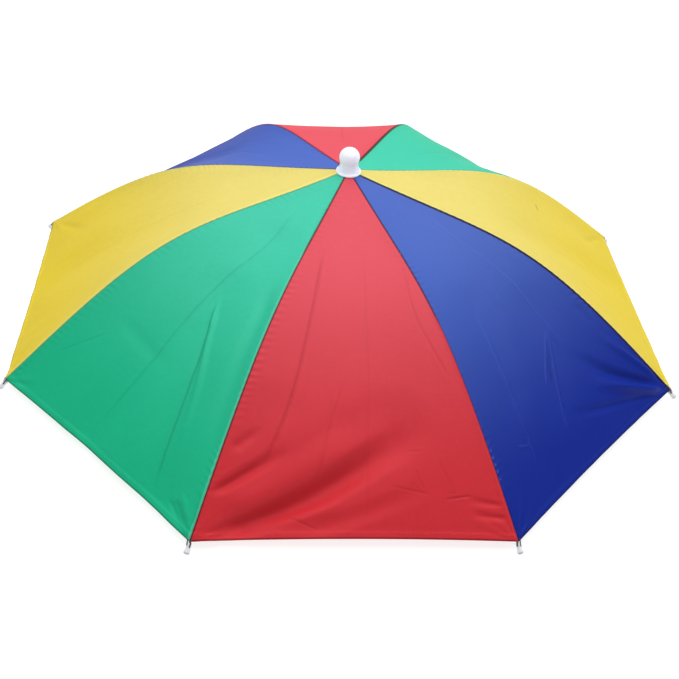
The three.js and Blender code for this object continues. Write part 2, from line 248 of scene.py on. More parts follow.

# Thin lines pressed into the cloth while it was folded up. They are too fine for the mesh, so
# it only carries the distance to them, and the finish draws them as a bump, as painted shade in
# the colour, and as a painted highlight where a line's depth is below 0.
PRESSED_LINES = table_by_gore("depth line", {
    "front": [
        (0.5, [(26, 19), (48, 23), (67, 22), (84, 17)]),
        (0.22, [(63, 45), (69, 42), (76, 39), (89, 36)]),
        (0.14, [(23, 62), (42, 58), (73, 55), (99, 53)]),
        (0.2, [(31, 95), (47, 88), (63, 94)]),
        (0.2, [(80, 69), (80, 75)]),
        (0.15, [(84, 71), (89, 73)]),
        (0.15, [(82, 80), (88, 83)]),
        (0.2, [(88, 61), (90, 75)]),
        (0.5, [(91, 80), (90, 89)]),
        (0.3, [(95, 28), (98, 38)])],
    "front_left": [
        (0.35, [(15, 40), (32, 54), (49, 48), (77, 47), (98, 45)]),
        (0.6, [(52, 55), (57, 60), (69, 69), (90, 77), (98, 79)]),
        (0.2, [(86, 9), (75, 20)])],
    "front_right": [
        (-0.55, [(51, 36), (74, 26), (91, 20)]),
        (-0.6, [(66, 69), (78, 47)]),
        (-0.6, [(66, 70), (74, 59), (91, 41)]),
        (-0.25, [(18, 83), (34, 74), (50, 74), (69, 71), (78, 75)]),
        (-0.8, [(84, 16), (86, 23)])],
    "right": [
        (0.9, [(60, 83), (60.5, 77)]),
        (0.1, [(35, 50), (70, 46), (97, 50)]),
        (0.12, [(50, 30), (72, 24), (90, 27)])],
    "back_right": [
        (0.25, [(25, 50), (60, 49), (98, 51)]),
        (0.3, [(45, 24), (93, 30)])],
    "back": [
        (0.25, [(20, 50), (60, 47), (98, 50)]),
        (0.3, [(50, 75), (95, 80)])],
    "back_left": [
        (0.25, [(25, 50), (60, 52), (98, 49)]),
        (-0.3, [(55, 30), (90, 20)])],
    "left": [
        (0.1, [(30, 50), (60, 53), (97, 50)]),
        (0.12, [(62, 62), (66, 72), (68, 82)])],
})


# Shape of the canopy


def unit(vectors):
    return vectors / np.linalg.norm(vectors, axis=-1, keepdims=True)


def heading_down(slope):
    return np.array([cos(radians(slope)), -sin(radians(slope))])


PEAK = np.array([PEAK_HOLE_RADIUS, CANOPY_RISE])
CORNER = np.array([CORNER_RADIUS, 0])
SEAM_HANDLES = [PEAK, PEAK + CORNER_RADIUS * CROWN_PULL * heading_down(CROWN_SLOPE),
                CORNER - CORNER_RADIUS * HEM_PULL * heading_down(HEM_SLOPE), CORNER]


def seam_curve(step):
    """Point and heading of the seam's curve in the plane of its rib."""
    a, b, c, d = SEAM_HANDLES
    t = np.asarray(step, float)[..., None]
    point = (1 - t) ** 3 * a + 3 * (1 - t) ** 2 * t * b + 3 * (1 - t) * t ** 2 * c + t ** 3 * d
    slope = (1 - t) ** 2 * (b - a) + 2 * (1 - t) * t * (c - b) + t ** 2 * (d - c)
    return point, unit(slope)


SEAM_STEPS = np.linspace(0, 1, 4001)
RUN = np.cumsum(np.linalg.norm(np.diff(seam_curve(SEAM_STEPS)[0], axis=0), axis=1))
SEAM_LENGTH = RUN[-1]
SEAM_SHARES = np.concatenate([[0], RUN / SEAM_LENGTH])


def seam_at(along):
    """Point and heading of the seam at a share of its length, straight on past the corner."""
    along = np.asarray(along, float)
    share = np.clip(along, 0, 1)
    point, heading = seam_curve(np.interp(share, SEAM_SHARES, SEAM_STEPS))
    return point + heading * ((along - share) * SEAM_LENGTH)[..., None], heading


def azimuth_of(index):
    place = index % len(RIBS)
    return radians(FIRST_AZIMUTH + place * RIB_STEP + RIBS[place].swing)


def turned_to(index, points):
    """Points of a rib's own plane, out along +X, turned to where the rib is."""
    x, y, z = np.moveaxis(np.asarray(points, float), -1, 0)
    c, s = cos(azimuth_of(index)), sin(azimuth_of(index))
    return np.stack([x * c - y * s, x * s + y * c, z], -1)


def below_seam(index, along, drop=0.0):
    """Points sunk below a seam, in the plane of its rib and with the rib's own bend."""
    point, heading = seam_at(along)
    rib = RIBS[index % len(RIBS)]
    radius = (point[..., 0] + heading[..., 1] * drop) * rib.reach
    lift = rib.lift * np.sin(pi * np.minimum(along, 1)) ** 2
    height = point[..., 1] - heading[..., 0] * drop + lift
    return np.stack([radius, np.zeros_like(radius), height], -1)


def rib_heading(index, along, drop=0.0):
    """Which way a rib runs, in its own plane."""
    return unit(below_seam(index, along + 0.001, drop) - below_seam(index, along, drop))


def rib_axes(index, along):
    """A seat on a rib, and the ways away from the cloth, sideways and down the rib."""
    down = rib_heading(index, along, RIB_DROP)
    under = np.array([down[2], 0, -down[0]])
    return below_seam(index, along, RIB_DROP), under, SIDEWAYS, down


def on_seam(index, along, drop=0.0):
    return turned_to(index, below_seam(index, along, drop))


def peak_height(radius):
    return CANOPY_RISE - (radius - PEAK_HOLE_RADIUS) * tan(radians(CROWN_SLOPE))


EDGE_ALONG = CAP_START + CAP_LENGTH - CAP_ROUNDING
EDGE_BELOW = RIB_DROP + CAP_END_RADIUS - CAP_ROUNDING
STAND_HEIGHT = (EDGE_ALONG * sin(radians(HEM_SLOPE))
                + EDGE_BELOW * cos(radians(HEM_SLOPE)) + CAP_ROUNDING - CAP_FOOT)
HUB_TOP = (peak_height(HUB_RADIUS / cos(HALF_GORE))
           - CLOTH_WALL / cos(radians(CROWN_SLOPE)) - CLEARANCE)

hub_low, hub_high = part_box("hub")
AXIS = (hub_low + hub_high) / 2
ORIGIN = np.array([AXIS.x, AXIS.y, STAND_HEIGHT * MM])


def in_frame(points):
    """Millimetres about the canopy's own axis, as metres in the frame."""
    return np.asarray(points, float) * MM + ORIGIN


def gore_width(along):
    return 2 * seam_at(along)[0][..., 0] * sin(HALF_GORE)


def on_cloth(along, across):
    """A place on a gore laid flat."""
    return np.stack([(across - 0.5) * gore_width(along), np.asarray(along) * SEAM_LENGTH], -1)


def smooth_path(points, pieces=8):
    """A path through the points without corners."""
    p = np.asarray(points, float)
    if len(p) < 3:
        return p
    padded = np.concatenate([2 * p[:1] - p[1:2], p, 2 * p[-1:] - p[-2:-1]])
    out = []
    for a, b, c, d in zip(padded, padded[1:], padded[2:], padded[3:]):
        for t in np.arange(pieces) / pieces:
            out.append(0.5 * (2 * b + (c - a) * t + (2 * a - 5 * b + 4 * c - d) * t ** 2
                              + (3 * b - a - 3 * c + d) * t ** 3))
    return np.array(out + [p[-1]])


def nearest_on_path(here, path):
    """Distance of each place from a path, more than 0 on its left, and the share of the path's
    length at which it is nearest."""
    best = np.full(here.shape[:-1], np.inf)
    place = np.zeros_like(best)
    lengths = np.linalg.norm(np.diff(path, axis=0), axis=1)
    before = 0.0
    for a, b, length in zip(path, path[1:], lengths):
        line = b - a
        share = np.clip((here - a) @ line / length ** 2, 0, 1)
        off = here - a - share[..., None] * line
        side = np.where(line[0] * off[..., 1] > line[1] * off[..., 0], 1, -1)
        distance = np.linalg.norm(off, axis=-1)
        closer = distance < np.abs(best)
        best = np.where(closer, side * distance, best)
        place = np.where(closer, before + share * length, place)
        before += length
    return best, place / before


def rounded_dip(distance, width):
    """From 1 on a line to 0 at the width, round at both."""
    return np.cos(np.minimum(np.abs(distance) / width, 1) * pi / 2) ** 2


def near_lines(rows, along, across):
    """Each row, with the distance from its line and the nearest share of it."""
    here = on_cloth(along, across)
    for row in rows:
        path = smooth_path([on_cloth(a / 100, b / 100) for a, b in row.line])
        yield (row, *nearest_on_path(here, path))


def gore_face(index, along, across):
    """Outer face of a gore as the solids have it, with their folds pressed inwards."""
    slack = 4 * across * (1 - across)
    share = along * (1 - slack * HEM_BOW / SEAM_LENGTH)
    left, right = on_seam(index, share), on_seam(index + 1, share)
    point = left + (right - left) * across[..., None]
    _, heading = seam_at(share)
    middle = azimuth_of(index) + HALF_GORE
    inward = np.stack([heading[..., 1] * cos(middle), heading[..., 1] * sin(middle),
                       -heading[..., 0]], -1)
    sag = slack * GORES[index].sag * np.sin(pi * share) ** 1.5
    folds = np.zeros_like(along)
    for fold, distance, _ in near_lines(FOLDS[GORES[index].name], along, across):
        folds += fold.depth * SEAM_LENGTH * rounded_dip(distance, fold.width * SEAM_LENGTH)
    return point + inward * (sag + folds * np.sqrt(slack))[..., None]


# Small relief of the cloth

# Waves all over the cloth, with the first seed of their draws
WAVES = table("height longest shortest stretch seed", [
    (0.45, 120, 50, 1.8, 10),
    (0.06, 26, 12, 2.6, 30),
])


def eased(value):
    value = np.clip(value, 0, 1)
    return value * value * (3 - 2 * value)


def crease_relief(gore, along, across):
    """Height of the creases over the smooth cloth."""
    relief = np.zeros_like(along)
    for crease, distance, place in near_lines(CREASES[gore.name], along, across):
        width = np.interp(place, (0, 1), crease.width)
        ends = eased(place / 0.2) * eased((1 - place) / 0.5)
        relief -= crease.depth * rounded_dip(distance, width) * ends
    return relief


def nearest_pressed_line(gore, along, across):
    """Distance from the nearest pressed line, and its depth there."""
    nearest = np.full_like(along, FAR_FROM_LINES)
    depth = np.zeros_like(along)
    for pressed, distance, place in near_lines(PRESSED_LINES[gore.name], along, across):
        closer = np.abs(distance) < np.abs(nearest)
        nearest = np.where(closer, distance, nearest)
        ends = eased(place / 0.15) * eased((1 - place) / 0.15)
        depth = np.where(closer, pressed.depth * ends, depth)
    return nearest, depth * (1 - eased((np.abs(nearest) - 5) / 4))


def seam_ridge(gore, side, along, edge):
    """How far the sewn allowance stands out beside a seam, from 0 to 1."""
    width = gore.ridge[side]
    shown = eased((along - gore.ridge_from[side]) / 0.06 + 0.5)
    return min(width, 1) * shown * (1 - eased((edge - width + 0.35) / 0.75))


def painted_seam_shade(gore, side, along, edge):
    """How dark the painted shade in the groove beside a seam is, from 0 to 1."""
    bare = 1 - 0.5 * min(gore.ridge[side], 1) * eased((along - gore.ridge_from[side]) / 0.06)
    return gore.line[side] * bare * (1 - eased((edge - gore.line_width[side] + 0.35) / 0.7))


def uneven(x, longest, shortest, seed, y=0, stretch=1):
    """Gentle random waves between two wavelengths, drawn out along the gore."""
    rng = np.random.default_rng(seed)
    total = np.zeros_like(x)
    for _ in range(14):
        wave = 2 * pi / rng.uniform(shortest, longest)
        turn = rng.uniform(0, 2 * pi)
        phase = rng.uniform(0, 2 * pi)
        total += np.cos(wave * (x * cos(turn) + y * sin(turn) / stretch) + phase)
    return total / sqrt(14)


def puckers(index, side, y):
    """The gathers that the stitches pull in beside a seam, as waves down the seam."""
    phase = uneven(y, 60, 25, 50 + 2 * index + side)
    waves = np.sin(2 * pi * y / PUCKER_PITCH + 1.6 * phase)
    strength = 0.5 + 0.5 * uneven(y, 90, 40, 80 + 2 * index + side)
    return np.clip(strength, 0.1, 1.4) * waves * eased((y - 10) / 30)


def cloth_relief(index, along, across, edges, hem):
    """Everything sewn or pressed into a gore, as height over its smooth face."""
    gore = GORES[index]
    x, y = np.moveaxis(on_cloth(along, across), -1, 0)
    calm = eased(edges.min(0) / 12) * eased(hem / 10) * eased((y - 14) / 40)
    relief = crease_relief(gore, along, across)
    for wave in WAVES:
        relief += calm * wave.height * uneven(x, wave.longest, wave.shortest,
                                              wave.seed + index, y, wave.stretch)
    for side, near in enumerate(edges):
        relief += SEAM_FOLD_HEIGHT * seam_ridge(gore, side, along, near)
        groove = GROOVE_DEPTH + 0.25 * min(gore.ridge[side], 1)
        relief -= groove * (1 - eased(near / GROOVE_WIDTH))
        pull = np.exp(-((near - 3) / 4) ** 2)
        relief += (0.15 + 0.35 * gore.nips[side]) * puckers(index, side, y) * pull
    hem_ridge = 1 - eased((hem - HEM_FOLD_WIDTH + 0.6) / 1.2)
    relief += HEM_LAYER * hem_ridge - GROOVE_DEPTH * (1 - eased(hem / GROOVE_WIDTH))
    ripple = uneven(x, 40, 14, 110 + index)
    relief += 0.16 * ripple * np.exp(-hem / 7) * eased(edges.min(0) / 10)
    for side, near in enumerate(edges):
        reach = np.hypot(near * 1.08, hem)
        angle = np.arctan2(near, hem + 1e-6)
        fan = uneven(angle * 18, 16, 5, 140 + 2 * index + side)
        relief += 0.6 * fan * np.exp(-((reach - 16) / 14) ** 2) * eased(near / 4)
    return relief


# Meshes


def linked(name, data):
    """A new object in the scene."""
    item = bpy.data.objects.new(name, data)
    bpy.context.scene.collection.objects.link(item)
    return item


def piece_from(name, points, faces, material):
    """An object at the origin whose mesh holds its place."""
    mesh = bpy.data.meshes.new(name)
    mesh.from_pydata([tuple(p) for p in in_frame(points)], [], [tuple(f) for f in faces])
    mesh.materials.append(material)
    mesh.polygons.foreach_set("use_smooth", [True] * len(mesh.polygons))
    mesh.update()
    return linked(name, mesh)


def sharpen(piece, angle):
    piece.data.set_sharp_from_angle(angle=radians(angle))
    return piece


def add_numbers(piece, name, values):
    layer = piece.data.attributes.new(name, "FLOAT", "POINT")
    layer.data.foreach_set("value", np.asarray(values, float).ravel())


def add_map(piece, flat):
    """A UV map in metres from one flat place in millimetres for each point."""
    layer = piece.data.uv_layers.new(name="cloth")
    corners = np.empty(len(piece.data.loops), int)
    piece.data.loops.foreach_get("vertex_index", corners)
    layer.data.foreach_set("uv", (flat * MM)[corners].ravel())


def turned_mesh(profile, sides):
    """Points and faces of a turned piece, from its profile of radius and height listed up
    the outside. It closes on the axis at both ends."""
    points, rings, faces = [], [], []
    for radius, height in profile:
        if radius == 0:
            rings.append([len(points)] * sides)
            points.append((0.0, 0.0, height))
        else:
            rings.append(list(range(len(points), len(points) + sides)))
            angles = np.arange(sides) * 2 * pi / sides
            points += [(radius * cos(a), radius * sin(a), height) for a in angles]
    for low, high in zip(rings, rings[1:]):
        for i in range(sides):
            j = (i + 1) % sides
            corners = [low[i], low[j], high[j], high[i]]
            face = [c for place, c in enumerate(corners) if c not in corners[:place]]
            if len(face) > 2:
                faces.append(face)
    return np.array(points), faces


def arc(centre, radius, start, end, steps):
    angles = np.radians(np.linspace(start, end, steps + 1))
    return [(centre[0] + radius * cos(a), centre[1] + radius * sin(a)) for a in angles]


def prism(outline, height):
    """Points and faces of a flat outline, counter-clockwise in X and Y, given a height."""
    count = len(outline)
    points = [(x, y, z) for z in (-height / 2, height / 2) for x, y in outline]
    faces = [list(range(count))[::-1], list(range(count, 2 * count))]
    faces += [[i, (i + 1) % count, count + (i + 1) % count, count + i] for i in range(count)]
    return np.array(points, float), faces


def shell(outer, inner):
    """Points and faces of a sheet with a thickness, from the grids of its two sides."""
    rows, columns = outer.shape[:2]
    number = np.arange(rows * columns).reshape(rows, columns)
    quads = np.stack([number[:-1, :-1], number[1:, :-1], number[1:, 1:], number[:-1, 1:]], -1)
    quads = quads.reshape(-1, 4)
    loop = np.concatenate([number[:, 0], number[-1, 1:], number[-2::-1, -1], number[0, -2:0:-1]])
    after = np.roll(loop, -1)
    rim = np.stack([loop, loop + rows * columns, after + rows * columns, after], -1)
    points = np.concatenate([outer.reshape(-1, 3), inner.reshape(-1, 3)])
    return points, np.concatenate([quads, quads[:, ::-1] + rows * columns, rim])


def soften(piece):
    """Rounds the edges of a piece."""
    bm = bmesh.new()
    bm.from_mesh(piece.data)
    edges = [e for e in bm.edges if len(e.link_faces) == 2 and e.calc_face_angle() > 0.6]
    bmesh.ops.bevel(bm, geom=edges, offset=STEEL_EDGE * MM, segments=2, profile=0.5,
                    affect="EDGES", clamp_overlap=True)
    bm.to_mesh(piece.data)
    bm.free()
    piece.data.polygons.foreach_set("use_smooth", [True] * len(piece.data.polygons))
    return sharpen(piece, 50)


def joined(name, pieces, material):
    """One object from several of one material."""
    bm = bmesh.new()
    for piece in pieces:
        bm.from_mesh(piece.data)
        bpy.data.objects.remove(piece)
    for face in bm.faces:
        face.material_index = 0
    mesh = bpy.data.meshes.new(name)
    bm.to_mesh(mesh)
    bm.free()
    mesh.materials.append(material)
    return linked(name, mesh)


# Node trees


class Graph:
    """A node tree, built one node at a time. A node given to a socket gives its first output."""

    def __init__(self, tree):
        self.tree = tree

    def add(self, kind, sockets=None, **settings):
        node = self.tree.nodes.new(kind)
        for name, value in settings.items():
            setattr(node, name, value)
        for name, value in (sockets or {}).items():
            self.feed(node.inputs[name], value)
        return node

    def feed(self, socket, value):
        if isinstance(value, Value):
            value = value.socket
        if isinstance(value, bpy.types.Node):
            value = value.outputs[0]
        if isinstance(value, bpy.types.NodeSocket):
            self.tree.links.new(value, socket)
        elif isinstance(value, tuple):
            socket.default_value = (value + (1,))[:len(socket.default_value)]
        else:
            socket.default_value = value


class Value:
    """A number in a material. Sums of them are written as plain Python."""

    def __init__(self, graph, socket):
        self.graph = graph
        self.socket = socket

    def apply(self, operation, *terms, clamped=False):
        node = self.graph.add("ShaderNodeMath", dict(enumerate(terms)), operation=operation,
                              use_clamp=clamped)
        return Value(self.graph, node.outputs[0])

    def __add__(self, other):
        return self.apply("ADD", self, other)

    def __sub__(self, other):
        return self.apply("SUBTRACT", self, other)

    def __rsub__(self, other):
        return self.apply("SUBTRACT", other, self)

    def __mul__(self, other):
        return self.apply("MULTIPLY", self, other)

    __radd__ = __add__
    __rmul__ = __mul__

    def sine(self):
        return self.apply("SINE", self)

    def size(self):
        return self.apply("ABSOLUTE", self)

    def clamped(self):
        return self.apply("ADD", self, 0.0, clamped=True)


class Finish(Graph):
    """A material under construction. Colours are red, green and blue."""

    def __init__(self, name):
        self.material = bpy.data.materials.new(name)
        self.material.use_nodes = True
        super().__init__(self.material.node_tree)
        self.tree.nodes.clear()

    def value(self, node, output=0):
        return Value(self, node.outputs[output])

    def number(self, attribute):
        return self.value(self.add("ShaderNodeAttribute", attribute_name=attribute), "Fac")

    def map_parts(self):
        node = self.add("ShaderNodeUVMap", uv_map="cloth")
        parts = self.add("ShaderNodeSeparateXYZ", {0: node})
        return self.value(parts, "X"), self.value(parts, "Y")

    def noise(self, scale, detail, stretch=None):
        vector = self.add("ShaderNodeTexCoord").outputs["Object"]
        if stretch:
            vector = self.add("ShaderNodeVectorMath", {0: vector, 1: stretch},
                              operation="MULTIPLY")
        return self.value(self.add("ShaderNodeTexNoise", {"Vector": vector, "Scale": scale,
                                                          "Detail": detail}))

    def fade(self, value, start, end):
        """From 1 at the start to 0 at the end."""
        return self.value(self.add("ShaderNodeMapRange", {
            "Value": value, "From Min": start, "From Max": end, "To Min": 1.0, "To Max": 0.0},
            interpolation_type="SMOOTHSTEP"))

    def blend(self, factor, first, second):
        node = self.add("ShaderNodeMix", {0: factor, 6: first, 7: second}, data_type="RGBA")
        return node.outputs[2]

    def scaled(self, colour, factor):
        return self.add("ShaderNodeVectorMath", {0: colour, "Scale": factor}, operation="SCALE")

    def bump(self, height, distance, strength=1.0, **sockets):
        return self.add("ShaderNodeBump", {"Height": height, "Distance": distance,
                                           "Strength": strength, **sockets})

    def surface(self, sockets):
        return self.add("ShaderNodeBsdfPrincipled", sockets)

    def close(self, shader):
        self.add("ShaderNodeOutputMaterial", {"Surface": shader})
        return self.material

    def plain(self, sockets):
        return self.close(self.surface(sockets))


class Maker(Graph):
    """A tree of geometry nodes with named inputs. It ends in one material on real faces."""

    KINDS = {float: "NodeSocketFloat", int: "NodeSocketInt"}

    def __init__(self, name, **numbers):
        super().__init__(bpy.data.node_groups.new(name, "GeometryNodeTree"))
        sockets = self.tree.interface
        self.ids = {}
        rows = [("lines", "NodeSocketGeometry", None)]
        rows += [(title, self.KINDS[type(value)], value) for title, value in numbers.items()]
        rows += [("finish", "NodeSocketMaterial", None)]
        for title, kind, value in rows:
            socket = sockets.new_socket(name=title, in_out="INPUT", socket_type=kind)
            if value is not None:
                socket.default_value = value
            self.ids[title] = socket.identifier
        sockets.new_socket(name="faces", in_out="OUTPUT", socket_type="NodeSocketGeometry")
        self.given = self.add("NodeGroupInput").outputs
        self.curve = self.add("GeometryNodeMeshToCurve", {"Mesh": self.given["lines"]})

    def circle(self, sides, radius):
        return self.add("GeometryNodeCurvePrimitiveCircle",
                        {"Resolution": sides, "Radius": radius}, mode="RADIUS")

    def swept(self, curve, profile, caps):
        return self.smooth(self.add("GeometryNodeCurveToMesh", {
            "Curve": curve, "Profile Curve": profile, "Fill Caps": caps}))

    def smooth(self, geometry):
        return self.add("GeometryNodeSetShadeSmooth", {"Geometry": geometry})

    def repeated(self, piece, size=(1.0, 1.0, 1.0)):
        """Copies of a piece at even steps of each line, with their Z down the line."""
        places = self.add("GeometryNodeResampleCurve", {
            "Curve": self.curve, "Length": self.given["spacing"]}, mode="LENGTH")
        turn = self.add("FunctionNodeAlignRotationToVector",
                        {"Vector": self.add("GeometryNodeInputTangent")}, axis="Z")
        return self.add("GeometryNodeInstanceOnPoints", {
            "Points": places, "Instance": piece, "Rotation": turn, "Scale": size})

    def close(self, geometry):
        real = self.add("GeometryNodeRealizeInstances", {0: geometry})
        dressed = self.add("GeometryNodeSetMaterial", {"Geometry": real,
                                                       "Material": self.given["finish"]})
        self.add("NodeGroupOutput", {0: dressed})
        return self

    def make(self, name, paths, finish, **numbers):
        """Runs the tree on open lines of points, as one plain mesh. Its numbers are metres."""
        points, edges = [], []
        for path in paths:
            edges += [(len(points) + i, len(points) + i + 1) for i in range(len(path) - 1)]
            points += [tuple(p) for p in in_frame(path)]
        lines = bpy.data.meshes.new(name + "_lines")
        lines.from_pydata(points, edges, [])
        holder = linked(name + "_lines", lines)
        modifier = holder.modifiers.new("Make", "NODES")
        modifier.node_group = self.tree
        for title, value in {"finish": finish, **numbers}.items():
            modifier[self.ids[title]] = value
        shown = holder.evaluated_get(bpy.context.evaluated_depsgraph_get())
        mesh = bpy.data.meshes.new_from_object(shown)
        mesh.name = name
        bpy.data.objects.remove(holder)
        bpy.data.meshes.remove(lines)
        return linked(name, mesh)


def wire_maker():
    """A round wire along each line."""
    maker = Maker("Wire along a line", radius=RIB_RADIUS * MM, sides=16)
    section = maker.circle(maker.given["sides"], maker.given["radius"])
    return maker.close(maker.swept(maker.curve, section, True))


def stitch_maker():
    """A row of stitches along each line, each a small drawn-out grain of thread."""
    maker = Maker("Stitches along a line", spacing=0.003, length=0.0022, thickness=0.0003,
                  seed=1)
    grain = maker.add("GeometryNodeMeshUVSphere", {"Segments": 6, "Rings": 5, "Radius": 0.5})
    vary = maker.add("FunctionNodeRandomValue", {2: 0.88, 3: 1.08, "Seed": maker.given["seed"]},
                     data_type="FLOAT")
    drawn = maker.add("ShaderNodeMath", {0: maker.given["length"], 1: vary.outputs[1]},
                      operation="MULTIPLY")
    thick = maker.given["thickness"]
    size = maker.add("ShaderNodeCombineXYZ", {0: thick, 1: thick, 2: drawn})
    return maker.close(maker.repeated(maker.smooth(grain), size))


def ring_maker():
    """Turns of thread round each line."""
    maker = Maker("Turns of thread", spacing=0.00045, radius=0.00165, thickness=0.0002)
    ring = maker.swept(maker.circle(16, maker.given["radius"]),
                       maker.circle(6, maker.given["thickness"]), False)
    return maker.close(maker.repeated(ring))


# Finishes


def cloth_finish(cloth):
    """Thin plain-woven cloth, paler towards the crown as painted sheen."""
    f = Finish(f"{cloth.name} woven cloth")
    across, along = f.map_parts()
    pitch = 2 * pi / WEAVE_PITCH
    weave = (across * pitch).sine() * (along * pitch).sine()
    slub = f.noise(900.0, 1.0, stretch=(1.0, 1.0, 0.3))
    cloudy = f.noise(9.0, 2.0)
    fine = f.noise(160.0, 2.0)
    hem = f.number("hem")
    band = f.fade(hem, HEM_FOLD_WIDTH - 0.7, HEM_FOLD_WIDTH + 0.5)
    # Painted shade: the colour darkens within about 2 mm of the hem's edge.
    rim = f.fade(hem, 1.0, 2.2)
    shade = 0.98 + cloudy * 0.05 + (fine - 0.5) * 0.08 + weave * 0.012
    # Pressed lines: a bump, painted shade in the colour, and a painted highlight where a line's
    # depth is below 0.
    press = f.fade(f.number("pressed").size(), 0.0, 2.2) * f.number("press")
    shade = shade * (1 - rim * 0.5) + band * 0.04 - press * 0.25
    # Painted sheen: the colour turns from the hem's colour to the paler crown colour towards the
    # peak.
    painted_crown_sheen = f.fade(along, 0.22 * SEAM_LENGTH * MM, 0.95 * SEAM_LENGTH * MM)
    tint = f.scaled(f.blend(painted_crown_sheen, cloth.hem, cloth.crown), shade)
    # Painted highlight where the seam allowance stands out and on the puckers the stitches nip up.
    tint = f.blend((f.number("ridge") * 0.6).clamped(), tint, cloth.pale)
    # Painted shade in the groove along each seam.
    tint = f.blend((f.number("line") * 0.95).clamped(), tint, cloth.line)
    pressed = f.bump(0 - press, MM)
    crinkled = f.bump(f.noise(210.0, 3.0), 0.00018, Normal=pressed)
    bumps = f.bump(weave * 0.5 + slub, 0.00002, 0.6, Normal=crinkled)
    face = f.surface({"Base Color": tint, "Roughness": 0.52 + fine * 0.12, "Normal": bumps,
                      "Specular IOR Level": 0.2})
    through = f.add("ShaderNodeBsdfTranslucent", {"Color": cloth.hem, "Normal": bumps})
    return f.close(f.add("ShaderNodeMixShader", {0: 0.1, 1: face, 2: through}))


def plastic_finish(name, colour, roughness, soft, glow=0.0):
    """Moulded plastic that lets some light through. Its faint bluish glow of its own is painted
    light.
    """
    f = Finish(name)
    cloudy = f.noise(60.0, 2.0)
    fine = f.noise(400.0, 3.0)
    # Painted shade darkens the colour where a piece carries it, as the caps do.
    tint = f.scaled(colour, 0.97 + cloudy * 0.05 - f.number("worn") * 0.45)
    return f.plain({
        "Base Color": tint, "Roughness": roughness + fine * 0.12, "Subsurface Weight": soft,
        "Subsurface Radius": (1.0, 0.8, 0.9), "Subsurface Scale": 0.004,
        # Painted glow: a faint bluish light of its own that brightens the plastic.
        "Emission Color": (0.72, 0.84, 1.0), "Emission Strength": glow,
        "Normal": f.bump(fine, 0.00004, 0.4)})


def steel_finish(name):
    """Drawn steel wire, a little dulled."""
    f = Finish(name)
    drawn = f.noise(700.0, 2.0, stretch=(1.0, 1.0, 0.15))
    dull = f.fade(f.noise(45.0, 3.0), 0.62, 0.42)
    return f.plain({
        "Base Color": f.blend(dull, (0.33, 0.32, 0.31), (0.6, 0.6, 0.61)), "Metallic": 1.0,
        "Roughness": 0.28 + drawn * 0.18, "Normal": f.bump(drawn, 0.00003, 0.4)})


def webbing_finish(name):
    """Elastic webbing: fine rows of yarn across the raised cords."""
    f = Finish(name)
    around, up = f.map_parts()
    rows = (around * (2 * pi / YARN_PITCH_AROUND)).sine()
    cords = (up * (2 * pi / YARN_PITCH_UP)).sine()
    dusty = f.noise(30.0, 3.0)
    return f.plain({
        "Base Color": f.scaled((0.016, 0.016, 0.018), 0.75 + dusty * 0.5 + rows * 0.12),
        "Roughness": 0.82 + dusty * 0.1, "Sheen Weight": 0.25, "Sheen Roughness": 0.5,
        "Normal": f.bump(rows * 0.6 + cords * 0.4, 0.00008, 0.7)})


def thread_finish(name, colour):
    f = Finish(name)
    twist = f.noise(2500.0, 1.0)
    return f.plain({"Base Color": f.scaled(colour, 0.8 + twist * 0.4),
                              "Roughness": 0.6 + twist * 0.2, "Sheen Weight": 0.2})


def floor_finish():
    f = Finish("pale floor")
    return f.plain({
        "Base Color": (0.36, 0.36, 0.36), "Roughness": 0.9, "Specular IOR Level": 0.0,
        "Emission Color": (1, 1, 1), "Emission Strength": 0.81})


# Colours of each cloth: near the crown, paler as painted sheen; near the hem; the painted
# highlight of raised seam allowances and puckers; and the painted shade in the seam grooves.
CLOTHS = table("name crown hem pale line", [
    ("red", (0.79, 0.087, 0.12), (0.69, 0.028, 0.04), (0.92, 0.06, 0.08), (0.06, 0.004, 0.01)),
    ("blue", (0.073, 0.146, 0.55), (0.001, 0.019, 0.3), (0.12, 0.22, 0.66), (0.015, 0.002, 0.03)),
    ("yellow", (0.81, 0.688, 0.185), (0.861, 0.665, 0.035), (0.92, 0.86, 0.28), (0.2, 0.18, 0.01)),
    ("green", (0.053, 0.61, 0.414), (0.008, 0.514, 0.265), (0.16, 0.8, 0.54),
     (0.025, 0.045, 0.01)),
])
cloth_finishes = {row.name: cloth_finish(row) for row in CLOTHS}
cloth_threads = {row.name: thread_finish(f"{row.name} sewing thread", row.hem)
                 for row in CLOTHS}
# The finial's plastic has a painted glow.
white_plastic = plastic_finish("white moulded plastic", (0.86, 0.87, 0.97), 0.3, 0.35, 0.24)
hub_plastic = plastic_finish("white hub plastic", (0.86, 0.87, 0.9), 0.4, 0.1)
cap_plastic = plastic_finish("white cap plastic", (0.88, 0.9, 0.94), 0.3, 0.1)
steel = steel_finish("drawn steel wire")
webbing = webbing_finish("black elastic webbing")
dark_thread = thread_finish("dark sewing thread", (0.05, 0.04, 0.05))
white_thread = thread_finish("white sewing thread", (0.7, 0.7, 0.72))

wires, stitches, rings = wire_maker(), stitch_maker(), ring_maker()


def settle(piece, slot, *nodes):
    """Puts a finished piece on the hat, in place of its solids."""
    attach(piece, "root")
    if nodes:
        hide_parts(*nodes)
    return piece


# Gores

EDGE_STEPS = np.array([0, 0.35, 0.8, 1.5, 2.4, 3.0, 3.6, 4.6, 6.5, 9.0])
HEM_STEPS = np.array([0, 0.35, 0.8, 1.6, 3.0, 4.6, 5.4, 6.0, 6.8, 8.4])
MIDDLE_CELLS = 78
LONG_CELLS = 240


